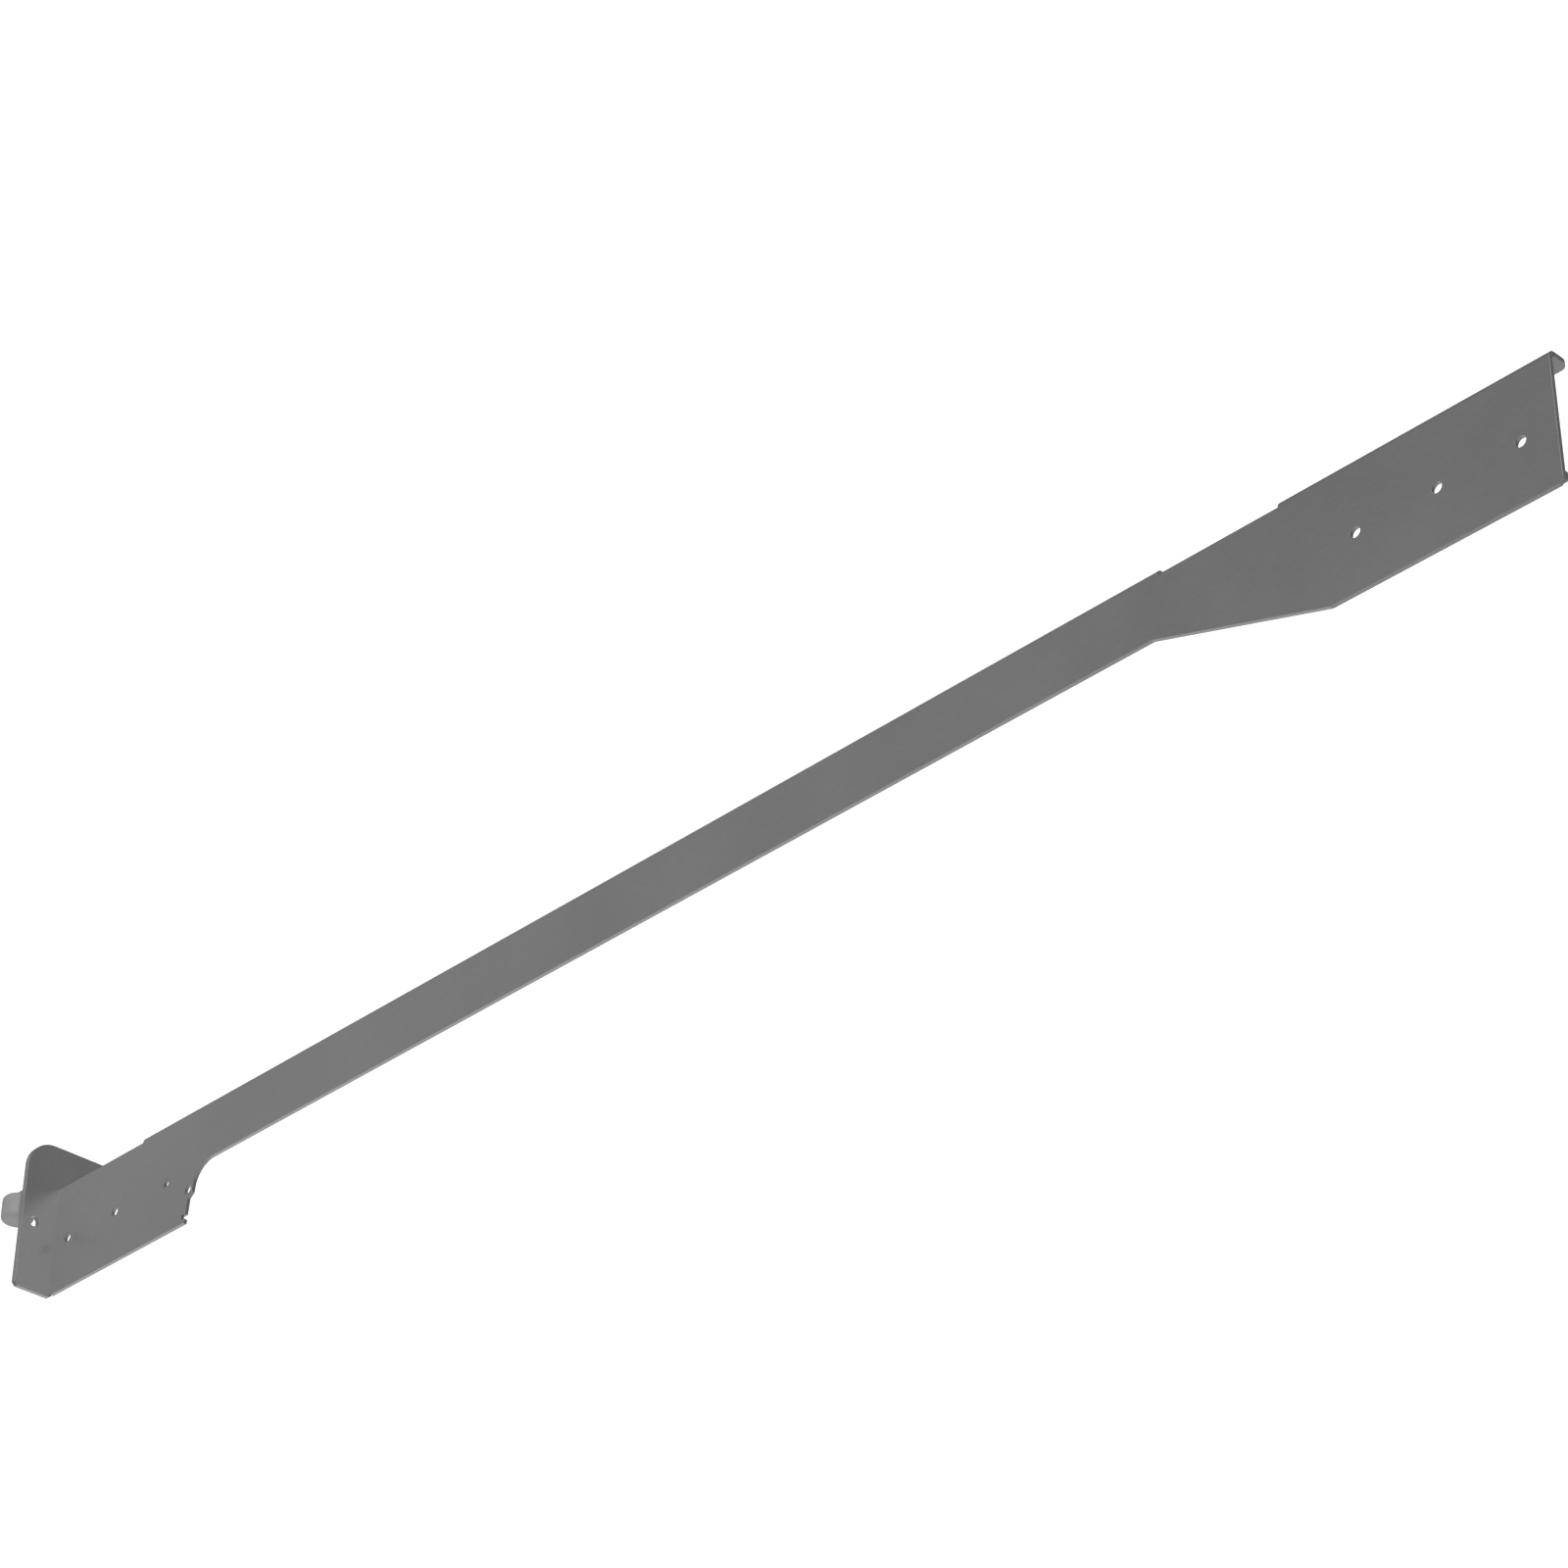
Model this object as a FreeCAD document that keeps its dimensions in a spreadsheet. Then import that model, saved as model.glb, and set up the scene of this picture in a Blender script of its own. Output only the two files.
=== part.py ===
import FreeCAD, Part
import math
import os

import Sketcher

# A folded-sheet gate opener arm. Bodies are drawn in the arm's own workshop
# coordinates: X runs along the arm from the seam with the end plate, Y runs
# from the flat front face towards the flange side, and Z = 0 is the height
# that the hole lines are measured down from. Every body's Placement then moves
# it so that the origin lies on the front face at the middle hole of the gate
# end's bolt line.

doc = FreeCAD.newDocument("gate_opener_arm")
dims = doc.addObject("Spreadsheet::Sheet", "dims")

# ---------------------------------------------------------------- dimensions
# Millimetres. Heights are measured down from Z = 0 unless named "up".
DRIVING = {
    # sheet and bar
    "sheet": 2.66,
    "bend_out": 4.8,
    "crest": 2.6,
    "arm_len": 1184.5,
    "bar_high": 39.4,
    "head_high": 77.5,
    "head_low": 77.0,
    "wide_high": 76.2,
    "flange_deep": 15.9,
    "flange_one": 86.5,
    "flange_one_end": 937.5,
    "flange_two": 1017.5,
    "lip_round": 4.5,
    "taper_start": 932.0,
    "taper_end": 1045.0,
    "corner_cut": 2.5,
    "tab_high": 7.5,
    "tab_deep": 4.6,
    # head
    "head_edge": 144.0,
    "head_shoulder": 57.0,
    "head_waist": 140.0,
    "waist_drop": 60.5,
    "head_foot": 138.3,
    "throat_rad": 16.5,
    "nick_drop": 71.1,
    "nick_high": 3.0,
    "nick_deep": 9.0,
    # holes
    "hole_rad": 3.25,
    "hole_pitch": 50.0,
    "hole_drop": 41.5,
    "head_hole": 12.7,
    "gate_hole": 1063.5,
    "third_hole": 116.0,
    "small_rad": 2.7,
    "edge_rad": 3.1,
    "edge_hole": 139.6,
    "edge_drop": 54.5,
    # end plate
    "plate_sheet": 3.4,
    "plate_up": 25.4,
    "plate_low": 79.0,
    "plate_front": 26.8,
    "plate_back": 40.0,
    "toe_drop": 35.8,
    "heel_up": 2.0,
    "crown_rad": 19.0,
    "top_rad": 10.0,
    "heel_rad": 6.0,
    "plate_rad": 3.6,
    "plate_hole": 17.8,
    "plate_drop": 31.7,
    # weld beads
    "bead_leg": 2.2,
    "bead_foot": 33.4,
    "bead_top": 4.0,
    "small_leg": 1.4,
    # roller and what carries it
    "roller_out": 14.8,
    "roller_side": 21.0,
    "roller_foot": 28.3,
    "roller_rad": 10.5,
    "roller_high": 17.2,
    "roller_round": 3.5,
    "pocket_rad": 6.2,
    "pocket_deep": 2.6,
    "bush_rad": 5.5,
    "journal_rad": 4.0,
    "run_clear": 0.05,
    "cap_thick": 0.9,
    "head_rad": 5.5,
    "head_thick": 1.35,
    "head_gap": 0.15,
    "washer_rad": 5.5,
    "washer_thick": 0.4,
    "side_gap": 0.05,
    "carrier_sheet": 1.4,
    "carrier_half": 3.2,
    "base_up": 14.0,
    "nose_rad": 3.1,
    "tail_rad": 2.0,
    "peen_rad": 2.8,
    "peen_thick": 0.8,
}

# Sizes that follow from the driving ones.
DERIVED = {
    "origin_x": "=gate_hole + hole_pitch",
    "bar_top": "=bend_out - crest",
    "washer_low": "=roller_high + side_gap",
    "ear_low": "=washer_low + washer_thick",
    "ear_top": "=ear_low + carrier_sheet",
    "ear_drop": "=roller_foot - ear_low",
    "base_top": "=ear_low + base_up - roller_foot",
    "head_top": "=pocket_deep - head_gap",
}
WORDS = set(DRIVING) | set(DERIVED)

NEAR = 0.05
EXACT = 1e-6
MIN_CUT = 0.5
QUARTER_TURN = (math.pi / 2, math.pi)

for row, (alias, value) in enumerate(DRIVING.items(), start=1):
    dims.set(f"A{row}", alias.replace("_", " "))
    dims.set(f"B{row}", str(value))
    dims.setAlias(f"B{row}", alias)
for row, (alias, formula) in enumerate(DERIVED.items(), start=len(DRIVING) + 1):
    dims.set(f"A{row}", alias.replace("_", " "))
    dims.set(f"B{row}", formula)
    dims.setAlias(f"B{row}", alias)
doc.recompute()

NODES = []


def size(alias):
    """The sheet's present value of one dimension."""
    return float(dims.get(alias))


def in_sheet(text):
    """An expression over the sheet: every alias in it gets the sheet's name."""
    words = text.replace("(", "( ").replace(")", " )").split()
    return " ".join(f"dims.{word}" if word in WORDS else word for word in words)


def value_of(text):
    """The number that a sum or difference of sheet words stands for."""
    total = 0.0
    sign = 1.0
    for word in text.split():
        if word in ("+", "-"):
            sign = 1.0 if word == "+" else -1.0
        else:
            total += sign * (size(word) if word in WORDS else float(word))
    return total


def new_body(label, x="0", y="0", z="0"):
    """A body drawn about a workshop point and moved into the part's frame."""
    body = doc.addObject("PartDesign::Body", label)
    body.Label = label
    body.setExpression(".Placement.Base.x", in_sheet(f"{x} - origin_x"))
    body.setExpression(".Placement.Base.y", in_sheet(y))
    body.setExpression(".Placement.Base.z", in_sheet(f"{z} + hole_drop"))
    NODES.append(body)
    return body


def new_sketch(body, name, role, lift="0"):
    """A sketch on one of the body's origin planes, lifted along its normal."""
    sketch = body.newObject("Sketcher::SketchObject", name)
    plane = next(item for item in body.Origin.OriginFeatures if item.Role == role)
    sketch.AttachmentSupport = [(plane, "")]
    sketch.MapMode = "FlatFace"
    sketch.setExpression(".AttachmentOffset.Base.z", in_sheet(lift))
    return sketch


def pin_point(sketch, geometry, position, across, up):
    """Ties a point's two coordinates to sheet expressions."""
    point = sketch.getPoint(geometry, position)
    for kind, value, text in (("DistanceX", point.x, across), ("DistanceY", point.y, up)):
        index = sketch.addConstraint(
            Sketcher.Constraint(kind, -1, 1, geometry, position, value))
        sketch.setExpression(f"Constraints[{index}]", in_sheet(text))


def outline(sketch, points):
    """A closed run of straight edges through points given as expressions."""
    places = [FreeCAD.Vector(value_of(across), value_of(up), 0) for across, up in points]
    ends = places[1:] + places[:1]
    lines = [sketch.addGeometry(Part.LineSegment(a, b)) for a, b in zip(places, ends)]
    for here, after in zip(lines, lines[1:] + lines[:1]):
        sketch.addConstraint(Sketcher.Constraint("Coincident", here, 2, after, 1))
    for line, (across, up) in zip(lines, points):
        pin_point(sketch, line, 1, across, up)


def round_hole(sketch, across, up, radius):
    """A circle whose centre and radius come from the sheet."""
    centre = FreeCAD.Vector(value_of(across), value_of(up), 0)
    circle = Part.Circle(centre, FreeCAD.Vector(0, 0, 1), value_of(radius))
    index = sketch.addGeometry(circle)
    pin_point(sketch, index, 3, across, up)
    ring = sketch.addConstraint(Sketcher.Constraint("Radius", index, value_of(radius)))
    sketch.setExpression(f"Constraints[{ring}]", in_sheet(radius))


def pad(body, name, sketch, length, reverse=False):
    feature = body.newObject("PartDesign::Pad", name)
    feature.Profile = sketch
    feature.Reversed = reverse
    feature.setExpression("Length", in_sheet(length))
    doc.recompute()


def pierce(body, name, sketch):
    """Cuts a sketch right through the body, both ways, and checks that it cut."""
    before = body.Shape.Volume
    feature = body.newObject("PartDesign::Pocket", name)
    feature.Profile = sketch
    feature.Type = "ThroughAll"
    feature.Midplane = True
    doc.recompute()
    if body.Shape.Volume > before - MIN_CUT:
        raise RuntimeError(f"{name} cut nothing")


def round_edges(body, name, radius, chosen):
    """Fillets the edges of the body's tip that pass a test."""
    tip = body.Tip
    names = [f"Edge{number}" for number, edge in enumerate(tip.Shape.Edges, start=1)
             if chosen(edge)]
    if not names:
        raise RuntimeError(f"{name} found no edge")
    feature = body.newObject("PartDesign::Fillet", name)
    feature.Base = (tip, names)
    feature.setExpression("Radius", in_sheet(radius))
    doc.recompute()


def corner_at(along, *corners):
    """A test for short straight edges along one axis, through given corners.

    A corner is the edge's place on the other two axes, in their usual order.
    """
    others = [axis for axis in ("x", "y", "z") if axis != along]

    def chosen(edge):
        if edge.Curve.TypeId != "Part::GeomLine" or edge.Length > 2 * size("plate_sheet"):
            return False
        middle = edge.CenterOfMass
        run = edge.Vertexes[-1].Point - edge.Vertexes[0].Point
        if any(abs(getattr(run, axis)) > EXACT for axis in others):
            return False
        found = [getattr(middle, axis) for axis in others]
        return any(math.dist(found, corner) < NEAR for corner in corners)
    return chosen


# ------------------------------------------------------------------- arm bar
def fold(body, name, start, end):
    """A top flange: the bend and the lip behind the web, from start to end."""
    sketch = new_sketch(body, f"{name}_profile", "YZ_Plane", start)
    outer = size("bend_out")
    deep = size("flange_deep")
    sheet = size("sheet")
    top = size("crest")
    foot = -size("bar_top")
    centre = FreeCAD.Vector(outer, foot, 0)
    up = FreeCAD.Vector(0, 0, 1)
    pieces = [
        Part.LineSegment(FreeCAD.Vector(outer, top, 0), FreeCAD.Vector(deep, top, 0)),
        Part.LineSegment(FreeCAD.Vector(deep, top, 0), FreeCAD.Vector(deep, top - sheet, 0)),
        Part.LineSegment(FreeCAD.Vector(deep, top - sheet, 0),
                         FreeCAD.Vector(outer, top - sheet, 0)),
        Part.ArcOfCircle(Part.Circle(centre, up, outer - sheet), *QUARTER_TURN),
        Part.LineSegment(FreeCAD.Vector(sheet, foot, 0), FreeCAD.Vector(0, foot, 0)),
        Part.ArcOfCircle(Part.Circle(centre, up, outer), *QUARTER_TURN),
    ]
    crown, lip, under, inner, base, skin = [sketch.addGeometry(piece) for piece in pieces]
    for joint in ((crown, 2, lip, 1), (lip, 2, under, 1), (under, 2, inner, 1),
                  (inner, 2, base, 1), (base, 2, skin, 2), (skin, 1, crown, 1)):
        sketch.addConstraint(Sketcher.Constraint("Coincident", *joint))
    for geometry, position, across, high in (
            (crown, 1, "bend_out", "crest"), (lip, 1, "flange_deep", "crest"),
            (under, 1, "flange_deep", "crest - sheet"), (inner, 3, "bend_out", "0 - bar_top"),
            (skin, 3, "bend_out", "0 - bar_top"), (base, 1, "sheet", "0 - bar_top")):
        pin_point(sketch, geometry, position, across, high)
    sketch.addConstraint(Sketcher.Constraint("Vertical", under, 2, inner, 3))
    sketch.addConstraint(Sketcher.Constraint("Horizontal", base, 2, inner, 3))
    pad(body, name, sketch, f"{end} - {start}")


def make_arm_bar():
    body = new_body("arm_bar")
    web = new_sketch(body, "web_outline", "XZ_Plane")
    outline(web, [
        ("0", "0 - bar_top"),
        ("arm_len", "0 - bar_top"),
        ("arm_len", "corner_cut - wide_high"),
        ("arm_len - corner_cut", "0 - wide_high"),
        ("taper_end", "0 - wide_high"),
        ("taper_start", "0 - bar_high"),
        ("head_edge", "0 - bar_high"),
        ("head_edge", "0 - head_shoulder"),
        ("head_waist", "0 - waist_drop"),
        ("head_foot", "0 - head_low"),
        ("0", "0 - head_high"),
    ])
    pad(body, "web", web, "sheet", reverse=True)
    fold(body, "long_flange", "flange_one", "flange_one_end")
    fold(body, "short_flange", "flange_two", "arm_len")
    tab = new_sketch(body, "end_tab_outline", "XZ_Plane", "0 - sheet")
    outline(tab, [
        ("arm_len - sheet", "corner_cut - wide_high"),
        ("arm_len", "corner_cut - wide_high"),
        ("arm_len", "tab_high - wide_high"),
        ("arm_len - sheet", "tab_high - wide_high"),
    ])
    pad(body, "end_tab", tab, "tab_deep - sheet", reverse=True)
    throat = (size("head_edge"), -size("bar_high"))
    round_edges(body, "throat", "throat_rad", corner_at("y", throat))
    lip_corner = (size("arm_len"), size("flange_deep"))
    round_edges(body, "lip_corner", "lip_round", corner_at("z", lip_corner))
    holes = new_sketch(body, "hole_centres", "XZ_Plane")
    for across in ("gate_hole", "gate_hole + hole_pitch", "gate_hole + hole_pitch + hole_pitch",
                   "head_hole", "head_hole + hole_pitch"):
        round_hole(holes, across, "0 - hole_drop", "hole_rad")
    round_hole(holes, "third_hole", "0 - hole_drop", "small_rad")
    round_hole(holes, "edge_hole", "0 - edge_drop", "edge_rad")
    outline(holes, [
        ("head_edge - nick_deep", "0 - nick_drop"),
        ("head_edge", "0 - nick_drop"),
        ("head_edge", "0 - nick_drop - nick_high"),
        ("head_edge - nick_deep", "0 - nick_drop - nick_high"),
    ])
    pierce(body, "holes_and_nick", holes)


# ----------------------------------------------------------------- end plate
def make_end_plate():
    """The flat plate across the arm's end, with its slanted lower rear edge."""
    body = new_body("end_plate")
    face = new_sketch(body, "plate_outline", "YZ_Plane", "0 - plate_sheet")
    outline(face, [
        ("0 - plate_front", "corner_cut - plate_low"),
        ("corner_cut - plate_front", "0 - plate_low"),
        ("0", "0 - plate_low"),
        ("sheet", "sheet - plate_low"),
        ("sheet", "0 - toe_drop"),
        ("plate_back", "heel_up"),
        ("plate_back", "plate_up"),
        ("0 - plate_front", "plate_up"),
    ])
    pad(body, "plate", face, "plate_sheet")
    top = size("plate_up")
    back = size("plate_back")
    for name, radius, corner in (
            ("crown", "crown_rad", (-size("plate_front"), top)),
            ("top_corner", "top_rad", (back, top)),
            ("heel", "heel_rad", (back, size("heel_up")))):
        round_edges(body, name, radius, corner_at("x", corner))
    bore = new_sketch(body, "bore_centre", "YZ_Plane")
    round_hole(bore, "0 - plate_hole", "0 - plate_drop", "plate_rad")
    pierce(body, "bore", bore)


# --------------------------------------------------------------------- welds
def make_seam_weld():
    """A short fillet bead in the corner between the web's rear face and the plate."""
    body = new_body("seam_weld")
    corner = new_sketch(body, "seam_section", "XY_Plane", "0 - bead_foot")
    outline(corner, [
        ("0", "sheet"),
        ("bead_leg", "sheet"),
        ("0", "sheet + bead_leg"),
    ])
    pad(body, "seam_bead", corner, "bead_foot - bead_top")


def make_carrier_weld():
    """A small fillet bead along the top edge of the carrier's base."""
    body = new_body("carrier_weld")
    corner = new_sketch(body, "carrier_section", "XZ_Plane", "roller_side + carrier_half")
    outline(corner, [
        ("0 - plate_sheet - small_leg", "base_top"),
        ("0 - plate_sheet", "base_top"),
        ("0 - plate_sheet", "base_top + small_leg"),
    ])
    pad(body, "carrier_bead", corner, "2 * carrier_half", reverse=True)


# ------------------------------------------------------------ roller carrier
def make_roller_carrier():
    """An angle bracket: a level ear over the roller and a base on the plate."""
    body = new_body("roller_carrier")
    near = "0 - roller_side - carrier_half"
    far = "0 - roller_side + carrier_half"
    nose = "0 - roller_out - carrier_half"
    ear = new_sketch(body, "ear_outline", "XY_Plane", "0 - ear_drop")
    outline(ear, [
        (nose, near),
        ("0 - plate_sheet", near),
        ("0 - plate_sheet", far),
        (nose, far),
    ])
    pad(body, "ear", ear, "carrier_sheet")
    base = new_sketch(body, "base_outline", "YZ_Plane", "0 - plate_sheet - carrier_sheet")
    outline(base, [
        (near, "0 - ear_drop"),
        (far, "0 - ear_drop"),
        (far, "base_top"),
        (near, "base_top"),
    ])
    pad(body, "base", base, "carrier_sheet")
    tips = [(value_of(nose), value_of(side)) for side in (near, far)]
    round_edges(body, "ear_nose", "nose_rad", corner_at("z", *tips))
    pin_hole = new_sketch(body, "pin_centre", "XY_Plane")
    round_hole(pin_hole, "0 - roller_out", "0 - roller_side", "tail_rad")
    pierce(body, "pin_hole", pin_hole)


# --------------------------------------------------------- turned small parts
def turned(label, profile):
    """A part turned about the roller's upright axle line, from a half profile.

    The profile's points are (radius, height above the roller's lower face).
    """
    body = new_body(label, "0 - roller_out", "0 - roller_side", "0 - roller_foot")
    sketch = new_sketch(body, f"{label}_profile", "XZ_Plane")
    outline(sketch, profile)
    feature = body.newObject("PartDesign::Revolution", f"{label}_turning")
    feature.Profile = sketch
    feature.ReferenceAxis = (sketch, ["V_Axis"])
    feature.Angle = 360
    doc.recompute()
    return body


def tread_rims(edge):
    """Picks the two circles where the roller's tread meets its flat faces."""
    is_circle = edge.Curve.TypeId == "Part::GeomCircle"
    return is_circle and abs(edge.Curve.Radius - size("roller_rad")) < NEAR


def make_roller_set():
    roller = turned("guide_roller", [
        ("pocket_rad", "0"),
        ("roller_rad", "0"),
        ("roller_rad", "roller_high"),
        ("bush_rad", "roller_high"),
        ("bush_rad", "pocket_deep"),
        ("pocket_rad", "pocket_deep"),
    ])
    round_edges(roller, "tread_rounding", "roller_round", tread_rims)
    turned("roller_bush", [
        ("journal_rad + run_clear", "pocket_deep"),
        ("bush_rad", "pocket_deep"),
        ("bush_rad", "roller_high"),
        ("journal_rad + run_clear", "roller_high"),
    ])
    turned("hub_cap", [
        ("0", "0"),
        ("pocket_rad", "0"),
        ("pocket_rad", "cap_thick"),
        ("0", "cap_thick"),
    ])
    turned("axle_washer", [
        ("journal_rad + run_clear", "washer_low"),
        ("washer_rad", "washer_low"),
        ("washer_rad", "ear_low"),
        ("journal_rad + run_clear", "ear_low"),
    ])
    turned("roller_axle", [
        ("0", "head_top - head_thick"),
        ("head_rad", "head_top - head_thick"),
        ("head_rad", "head_top"),
        ("journal_rad", "head_top"),
        ("journal_rad", "ear_low"),
        ("tail_rad", "ear_low"),
        ("tail_rad", "ear_top"),
        ("peen_rad", "ear_top"),
        ("tail_rad", "ear_top + peen_thick"),
        ("0", "ear_top + peen_thick"),
    ])


# -------------------------------------------------------------------- output
make_arm_bar()
make_end_plate()
make_seam_weld()
make_roller_carrier()
make_carrier_weld()
make_roller_set()
doc.recompute()

for item in doc.Objects:
    if "Invalid" in item.State or "Error" in item.State:
        raise RuntimeError(f"{item.Label} is {item.State}")
os.makedirs("parts", exist_ok=True)
for node in NODES:
    shape = node.Shape
    if shape.isNull() or not shape.isValid() or not shape.Solids:
        raise RuntimeError(f"{node.Label} has no valid solid")
    shape.exportStep(f"parts/{node.Label}.step")
    box = shape.BoundBox
    print(f"{node.Label}: {len(shape.Solids)} solid(s), {shape.Volume:.0f} mm3, "
          f"X {box.XMin:.1f} {box.XMax:.1f}  Y {box.YMin:.1f} {box.YMax:.1f}  "
          f"Z {box.ZMin:.1f} {box.ZMax:.1f}")
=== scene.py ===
import math

import bpy
from mathutils import Matrix, Vector

# The camera, stage, lights and materials for the gate opener arm, in the
# frame's own axes. Lengths are in metres and angles in degrees, except that
# the camera's lens and sensor are in millimetres.

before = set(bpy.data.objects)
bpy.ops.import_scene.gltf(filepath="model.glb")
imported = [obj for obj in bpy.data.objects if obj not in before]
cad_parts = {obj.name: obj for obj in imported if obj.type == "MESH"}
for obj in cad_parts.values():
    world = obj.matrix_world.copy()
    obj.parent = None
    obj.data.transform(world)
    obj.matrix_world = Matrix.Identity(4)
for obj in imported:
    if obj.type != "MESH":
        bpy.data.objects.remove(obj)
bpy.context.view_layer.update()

# ------------------------------------------------------------------- camera
# The camera stands low, in front of the arm and near its gate end, and looks up.
CAMERA_PLACE = Vector((0.95275, -1.33485, -1.22137))
CAMERA_AZIMUTH = 46.37
CAMERA_ELEVATION = -33.09
CAMERA_ROLL = 0.54
CAMERA_LENS = 97.39
CAMERA_REACH = (0.05, 100)
SENSOR = 36.0

# -------------------------------------------------------------------- stage
FLOOR_SIZE = 20.0
FLOOR_HEIGHT = -1.7
FLOOR_TONE = 0.9
FLOOR_ROUGHNESS = 0.9
BACKDROP_AWAY = 6.0
BACKDROP_SIZE = 3.4
BACKDROP_GLOW = 1.2

# ------------------------------------------------------------------- lights
WHITE = (1, 1, 1, 1)

# The room's own glow, and soft brighter parts of it:
# direction, full within this many degrees, gone beyond this many, added glow
ROOM_GLOW = 0.155
ROOM_PATCHES = {
    "far_left": ((-1.0, -0.35, 0.35), 8, 34, 0.13),
    "front_left": ((-0.60, -0.70, 0.40), 20, 62, 0.13),
    "front_right": ((0.80, -0.50, 0.40), 15, 60, 0.33),
}

# name: place, aim, width, height, power in watts
LIGHTS = {
    "key": ((3.2, -1.7, 1.9), (-0.6, 0.0, 0.0), 3.2, 3.2, 18.0),
    "low_rear": ((-3.0, 1.6, -1.5), (-0.6, 0.0, 0.0), 2.6, 2.6, 9.0),
    "rear": ((-0.2, 3.0, 2.6), (-0.4, 0.0, 0.0), 2.5, 2.5, 6.0),
}

# ---------------------------------------------------------------- materials
# Each material's dark and light colours, its edge colour (partly wear, partly a painted
# highlight), its least and greatest roughness, the depth of its grain, how wide its
# lighter edges are, and the stretch of the grain along each axis.
METALS = {
    "arm_steel": {
        "dark": (0.50, 0.50, 0.50), "light": (0.58, 0.58, 0.58), "worn_and_lit_edge": (0.72, 0.72, 0.72),
        "rough": (0.30, 0.42), "depth": 0.00004, "edge": 0.0005, "stretch": (0.15, 1.0, 1.0)},
    "weld_steel": {
        "dark": (0.30, 0.30, 0.31), "light": (0.48, 0.48, 0.49), "worn_and_lit_edge": (0.6, 0.6, 0.6),
        "rough": (0.35, 0.5), "depth": 0.0003, "edge": 0.0004, "stretch": (1.0, 1.0, 1.0)},
    "zinc_steel": {
        "dark": (0.60, 0.61, 0.63), "light": (0.72, 0.73, 0.75), "worn_and_lit_edge": (0.85, 0.85, 0.86),
        "rough": (0.22, 0.34), "depth": 0.00002, "edge": 0.0003, "stretch": (1.0, 1.0, 1.0)},
    "bronze": {
        "dark": (0.42, 0.28, 0.14), "light": (0.62, 0.45, 0.24), "worn_and_lit_edge": (0.75, 0.58, 0.34),
        "rough": (0.3, 0.5), "depth": 0.00005, "edge": 0.0003, "stretch": (1.0, 1.0, 1.0)},
}
CLOUD_SCALE = 9.0
GRAIN_SCALE = 900.0
GRAIN_DETAIL = 4.0
SOFT_DETAIL = 3.0
CLOUD_SHARE = 0.6
GRAIN_SHARE = 0.4
TONE_RANGE = (0.38, 0.62)
ROUGH_RANGE = (0.35, 0.65)
WEAR_SCALE = 160.0
WEAR_LEAST = 0.2
WEAR_RANGE = (0.4, 0.6)
METAL_BUMP = 0.35

NYLON_DARK = (0.76, 0.76, 0.75)
NYLON_LIGHT = (0.82, 0.82, 0.81)
NYLON_WORN = (0.88, 0.88, 0.87)
NYLON_ROUGH = (0.5, 0.65)
NYLON_CLOUDS = 140.0
NYLON_GRAIN = 1500.0
NYLON_RANGE = (0.3, 0.7)
NYLON_DEPTH = 0.00003
NYLON_BUMP = 0.3
NYLON_EDGE = 0.0006
NYLON_ROUNDING = 0.0004

# Near an edge the rounded normal turns away from the face. Where the cosine of
# that turn is the first value or less the edge takes its full lighter colour (on the metals
# partly wear, partly a painted highlight), and from the second value up the surface counts as
# flat.
EDGE_RANGE = (0.75, 0.995)
EDGE_SAMPLES = 6

# Which material each node wears.
WORN_BY = {
    "arm_steel": ("arm_bar", "end_plate", "roller_carrier"),
    "weld_steel": ("seam_weld", "carrier_weld"),
    "zinc_steel": ("axle_washer", "roller_axle"),
    "bronze": ("roller_bush",),
    "nylon": ("guide_roller", "hub_cap"),
}


def make_camera():
    """Sets the camera and returns the direction from its target back to it."""
    data = bpy.data.cameras.new("camera")
    data.sensor_width = SENSOR
    data.lens = CAMERA_LENS
    data.clip_start, data.clip_end = CAMERA_REACH
    camera = bpy.data.objects.new("camera", data)
    bpy.context.scene.collection.objects.link(camera)
    azimuth = math.radians(CAMERA_AZIMUTH)
    elevation = math.radians(CAMERA_ELEVATION)
    back = Vector((math.sin(azimuth) * math.cos(elevation),
                   -math.cos(azimuth) * math.cos(elevation), math.sin(elevation)))
    turn = back.to_track_quat("Z", "Y").to_matrix()
    roll = Matrix.Rotation(math.radians(CAMERA_ROLL), 3, "Z")
    camera.matrix_world = Matrix.Translation(CAMERA_PLACE) @ (turn @ roll).to_4x4()
    bpy.context.scene.camera = camera
    return back


def floor_material():
    material = bpy.data.materials.new("floor")
    material.use_nodes = True
    shader = material.node_tree.nodes["Principled BSDF"]
    shader.inputs["Base Color"].default_value = (FLOOR_TONE, FLOOR_TONE, FLOOR_TONE, 1)
    shader.inputs["Roughness"].default_value = FLOOR_ROUGHNESS
    return material


def backdrop_material():
    material = bpy.data.materials.new("backdrop")
    material.use_nodes = True
    tree = material.node_tree
    tree.nodes.clear()
    glow = tree.nodes.new("ShaderNodeEmission")
    glow.inputs["Strength"].default_value = BACKDROP_GLOW
    output = tree.nodes.new("ShaderNodeOutputMaterial")
    tree.links.new(glow.outputs["Emission"], output.inputs["Surface"])
    return material


def make_stage(back):
    """A pale floor, and a bright backdrop square to the camera behind the arm."""
    bpy.ops.mesh.primitive_plane_add(size=FLOOR_SIZE, location=(0, 0, FLOOR_HEIGHT))
    floor = bpy.context.object
    floor.name = "floor"
    floor.data.materials.append(floor_material())
    bpy.ops.mesh.primitive_plane_add(size=BACKDROP_SIZE)
    backdrop = bpy.context.object
    backdrop.name = "backdrop"
    place = CAMERA_PLACE - back * BACKDROP_AWAY
    turn = back.to_track_quat("Z", "Y").to_matrix().to_4x4()
    backdrop.matrix_world = Matrix.Translation(place) @ turn
    backdrop.data.materials.append(backdrop_material())


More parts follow.
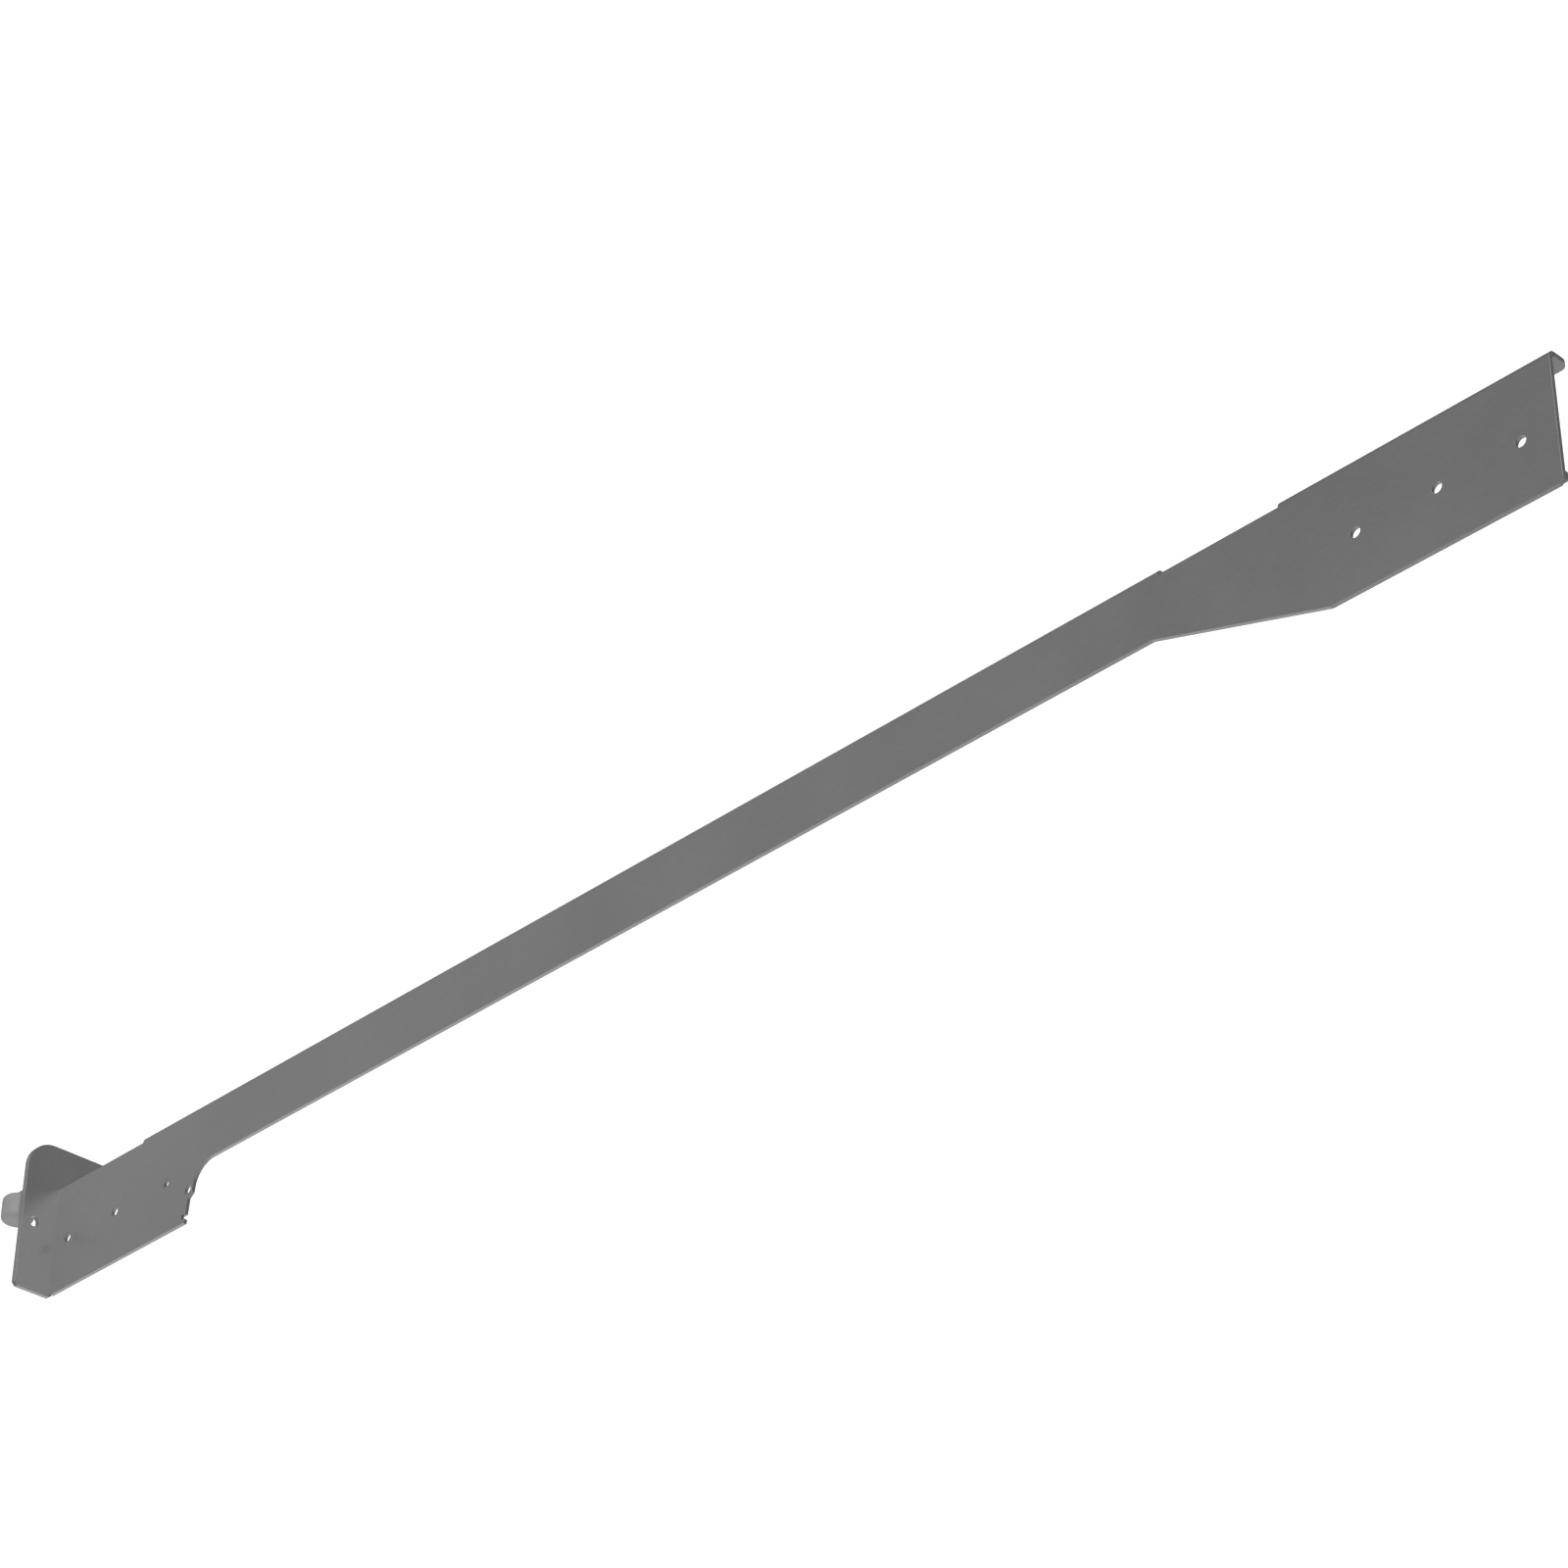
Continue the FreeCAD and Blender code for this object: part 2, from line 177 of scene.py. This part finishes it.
def make_room():
    """A dim room whose glow grows softly towards a few directions."""
    world = bpy.data.worlds.new("world")
    world.use_nodes = True
    tree = world.node_tree
    direction = tree.nodes.new("ShaderNodeTexCoord").outputs["Generated"]
    total = None
    for toward, inner, outer, glow in ROOM_PATCHES.values():
        dot = tree.nodes.new("ShaderNodeVectorMath")
        dot.operation = "DOT_PRODUCT"
        dot.inputs[1].default_value = Vector(toward).normalized()
        tree.links.new(direction, dot.inputs[0])
        ramp = tree.nodes.new("ShaderNodeMapRange")
        ramp.interpolation_type = "SMOOTHSTEP"
        ramp.inputs["From Min"].default_value = math.cos(math.radians(outer))
        ramp.inputs["From Max"].default_value = math.cos(math.radians(inner))
        ramp.inputs["To Max"].default_value = glow
        tree.links.new(dot.outputs["Value"], ramp.inputs["Value"])
        add = tree.nodes.new("ShaderNodeMath")
        add.inputs[0].default_value = ROOM_GLOW
        if total:
            tree.links.new(total, add.inputs[0])
        tree.links.new(ramp.outputs["Result"], add.inputs[1])
        total = add.outputs["Value"]
    sky = tree.nodes["Background"]
    sky.inputs["Color"].default_value = WHITE
    tree.links.new(total, sky.inputs["Strength"])
    bpy.context.scene.world = world


def make_lights():
    for name, (place, aim, width, height, power) in LIGHTS.items():
        data = bpy.data.lights.new(name, "AREA")
        data.shape = "RECTANGLE"
        data.size = width
        data.size_y = height
        data.energy = power
        light = bpy.data.objects.new(name, data)
        bpy.context.scene.collection.objects.link(light)
        light.location = place
        look = Vector(aim) - Vector(place)
        light.rotation_euler = look.to_track_quat("-Z", "Y").to_euler()


class Shader:
    """A small helper that adds nodes to one material and links them."""

    def __init__(self, name):
        self.material = bpy.data.materials.new(name)
        self.material.use_nodes = True
        self.tree = self.material.node_tree
        self.main = self.tree.nodes["Principled BSDF"]
        self.place = self.add("ShaderNodeTexCoord").outputs["Object"]

    def add(self, kind, **settings):
        node = self.tree.nodes.new(kind)
        for key, value in settings.items():
            setattr(node, key, value)
        return node

    def link(self, source, target):
        self.tree.links.new(source, target)

    def fill(self, socket, value):
        """Sets a socket to a plain value, or links another socket to it."""
        if isinstance(value, bpy.types.NodeSocket):
            self.link(value, socket)
        else:
            socket.default_value = value

    def noise(self, scale, detail, stretch=None):
        """Fractal noise in object space, stretched along chosen axes."""
        node = self.add("ShaderNodeTexNoise")
        node.inputs["Scale"].default_value = scale
        node.inputs["Detail"].default_value = detail
        place = self.place
        if stretch:
            mapping = self.add("ShaderNodeMapping")
            mapping.inputs["Scale"].default_value = stretch
            self.link(place, mapping.inputs["Vector"])
            place = mapping.outputs["Vector"]
        self.link(place, node.inputs["Vector"])
        return node.outputs["Fac"]

    def spread(self, source, span, low, high):
        """Maps a value from one span to the range low to high, clamped."""
        node = self.add("ShaderNodeMapRange")
        node.inputs["From Min"].default_value = span[0]
        node.inputs["From Max"].default_value = span[1]
        node.inputs["To Min"].default_value = low
        node.inputs["To Max"].default_value = high
        self.link(source, node.inputs["Value"])
        return node.outputs["Result"]

    def combine(self, operation, first, second):
        """One sum or product of two values, each a number or a socket."""
        node = self.add("ShaderNodeMath", operation=operation)
        self.fill(node.inputs[0], first)
        self.fill(node.inputs[1], second)
        return node.outputs["Value"]

    def mix(self, factor, first, second):
        """A colour between two colours, each a plain value or a socket."""
        node = self.add("ShaderNodeMix", data_type="RGBA")
        self.link(factor, node.inputs["Factor"])
        self.fill(node.inputs["A"], first)
        self.fill(node.inputs["B"], second)
        return node.outputs["Result"]

    def rounded_normal(self, radius):
        """The surface's normal as if its edges had this radius."""
        bevel = self.add("ShaderNodeBevel", samples=EDGE_SAMPLES)
        bevel.inputs["Radius"].default_value = radius
        return bevel.outputs["Normal"]

    def edges(self, radius):
        """About 0 on flat faces and towards 1 along outer and inner edges."""
        plain = self.add("ShaderNodeNewGeometry")
        turn = self.add("ShaderNodeVectorMath", operation="DOT_PRODUCT")
        self.link(self.rounded_normal(radius), turn.inputs[0])
        self.link(plain.outputs["Normal"], turn.inputs[1])
        return self.spread(turn.outputs["Value"], EDGE_RANGE, 1.0, 0.0)

    def bump(self, height, depth, strength, radius):
        """Raises the grain on a surface whose edges look slightly rounded."""
        node = self.add("ShaderNodeBump")
        node.inputs["Strength"].default_value = strength
        node.inputs["Distance"].default_value = depth
        self.link(height, node.inputs["Height"])
        self.link(self.rounded_normal(radius), node.inputs["Normal"])
        self.link(node.outputs["Normal"], self.main.inputs["Normal"])

    def finish(self, color, roughness):
        self.link(color, self.main.inputs["Base Color"])
        self.link(roughness, self.main.inputs["Roughness"])
        return self.material


def opaque(color):
    return (*color, 1)


def make_metal(name, dark, light, worn_and_lit_edge, rough, depth, edge, stretch):
    """Satin metal: cloudy tone, fine grain, a soft bump and brighter edges, partly wear and
    partly a painted highlight.
    """
    shader = Shader(name)
    shader.main.inputs["Metallic"].default_value = 1.0
    clouds = shader.noise(CLOUD_SCALE, SOFT_DETAIL)
    grain = shader.noise(GRAIN_SCALE, GRAIN_DETAIL, stretch)
    tone = shader.combine("ADD", shader.combine("MULTIPLY", clouds, CLOUD_SHARE),
                          shader.combine("MULTIPLY", grain, GRAIN_SHARE))
    base = shader.mix(shader.spread(tone, TONE_RANGE, 0.0, 1.0), opaque(dark), opaque(light))
    patchy = shader.spread(shader.noise(WEAR_SCALE, SOFT_DETAIL), WEAR_RANGE, WEAR_LEAST, 1.0)
    # Painted highlight mixed with patchy real wear: the edge mask lightens edges and hole
    # walls the way the light falling on them would.
    wear_and_highlight = shader.combine("MULTIPLY", shader.edges(edge), patchy)
    color = shader.mix(wear_and_highlight, base, opaque(worn_and_lit_edge))
    shader.bump(grain, depth, METAL_BUMP, edge)
    return shader.finish(color, shader.spread(tone, ROUGH_RANGE, *rough))


def make_nylon():
    """Matte plastic: a faint cloudy tone, a fine bump and lighter edges."""
    shader = Shader("nylon")
    clouds = shader.noise(NYLON_CLOUDS, SOFT_DETAIL)
    grain = shader.noise(NYLON_GRAIN, SOFT_DETAIL)
    tone = shader.spread(clouds, NYLON_RANGE, 0.0, 1.0)
    base = shader.mix(tone, opaque(NYLON_DARK), opaque(NYLON_LIGHT))
    color = shader.mix(shader.edges(NYLON_EDGE), base, opaque(NYLON_WORN))
    shader.bump(grain, NYLON_DEPTH, NYLON_BUMP, NYLON_ROUNDING)
    return shader.finish(color, shader.spread(clouds, NYLON_RANGE, *NYLON_ROUGH))


def dress_nodes():
    materials = {name: make_metal(name, **look) for name, look in METALS.items()}
    materials["nylon"] = make_nylon()
    for material, wearers in WORN_BY.items():
        for node in wearers:
            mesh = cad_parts[node].data
            mesh.materials.clear()
            mesh.materials.append(materials[material])


make_stage(make_camera())
make_room()
make_lights()
dress_nodes()
bpy.context.scene.view_settings.view_transform = "Standard"
